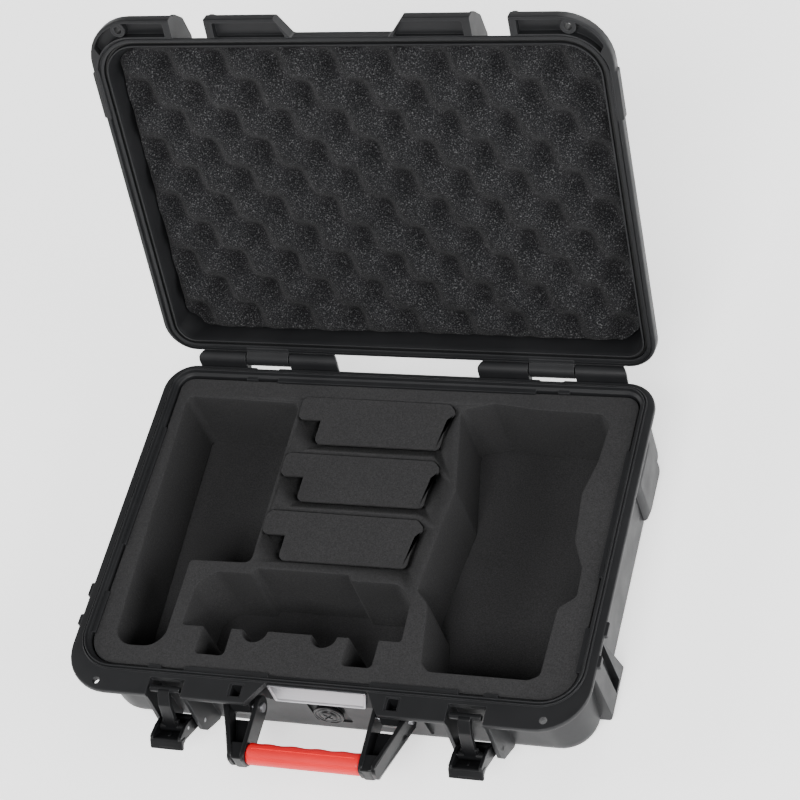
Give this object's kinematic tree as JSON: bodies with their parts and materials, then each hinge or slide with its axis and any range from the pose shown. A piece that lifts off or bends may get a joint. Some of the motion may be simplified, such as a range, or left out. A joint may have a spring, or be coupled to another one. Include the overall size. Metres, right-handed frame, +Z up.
{
  "type": "drone carrying case",
  "caption": "Hard-shell carrying case for a folding drone, with hinged lid, draw latches, folding handle and cut-foam pockets.",
  "frame": {"origin": "bottom centre of the base, on the plane of its feet, midway between the front and back edges of the rim flange", "axes": "+X to the right when facing the handle side, +Y towards the hinges, +Z up"},
  "size_m": [0.373, 0.4219, 0.3376],
  "materials": {
    "shell_plastic": "fine moulded texture",
    "latch_plastic": "smooth satin",
    "base_foam": "cut closed-cell foam",
    "lid_foam": "open-cell convoluted foam",
    "grip_rubber": "soft matt red",
    "seal_rubber": "matt black",
    "plate_metal": "brushed satin",
    "pin_steel": "satin"
  },
  "bodies": {
    "base": {"base_shell": "shell_plastic", "base_foam": "base_foam", "base_foam_pad": "base_foam", "nameplate": "plate_metal", "valve_body": "latch_plastic", "valve_cap": "latch_plastic", "valve_seal": "seal_rubber", "valve_nut": "latch_plastic", "hinge_pin_left": "pin_steel", "hinge_pin_right": "pin_steel", "latch_pin_left": "pin_steel", "latch_pin_right": "pin_steel", "handle_pin_left": "pin_steel", "handle_pin_right": "pin_steel"},
    "lid": {"lid_shell": "shell_plastic", "lid_gasket": "seal_rubber", "lid_foam": "lid_foam"},
    "handle": {"handle_frame": "latch_plastic", "handle_grip": "grip_rubber"},
    "lever_left": {"latch_lever_left": "latch_plastic", "link_pin_left": "pin_steel"},
    "link_left": {"latch_link_left": "latch_plastic"},
    "lever_right": {"latch_lever_right": "latch_plastic", "link_pin_right": "pin_steel"},
    "link_right": {"latch_link_right": "latch_plastic"}
  },
  "joints": [
    {"name": "lid_hinge", "type": "hinge", "parent": "base", "child": "lid", "pos_m": [0, 0.1415, 0.0741], "axis": [1, 0, 0], "range_deg": [0, 108]},
    {"name": "lever_left_pivot", "type": "hinge", "parent": "base", "child": "lever_left", "pos_m": [-0.1057, -0.1295, 0.032], "axis": [-1, 0, 0], "range_deg": [0, 55]},
    {"name": "link_left_pivot", "type": "hinge", "parent": "lever_left", "child": "link_left", "pos_m": [-0.1057, -0.14228, 0.04339], "axis": [1, 0, 0], "range_deg": [0, 66.01]},
    {"name": "lever_right_pivot", "type": "hinge", "parent": "base", "child": "lever_right", "pos_m": [0.1057, -0.1295, 0.032], "axis": [-1, 0, 0], "range_deg": [0, 55]},
    {"name": "link_right_pivot", "type": "hinge", "parent": "lever_right", "child": "link_right", "pos_m": [0.1057, -0.14228, 0.04339], "axis": [1, 0, 0], "range_deg": [0, 66.01]},
    {"name": "handle_pivot", "type": "hinge", "parent": "base", "child": "handle", "pos_m": [0, -0.129, 0.057], "axis": [1, 0, 0], "range_deg": [0, 90]}
  ],
  "couplings": [
    {"joint": "link_left_pivot", "follows": "lever_left_pivot", "ratio": 1.2},
    {"joint": "link_right_pivot", "follows": "lever_right_pivot", "ratio": 1.2}
  ]
}
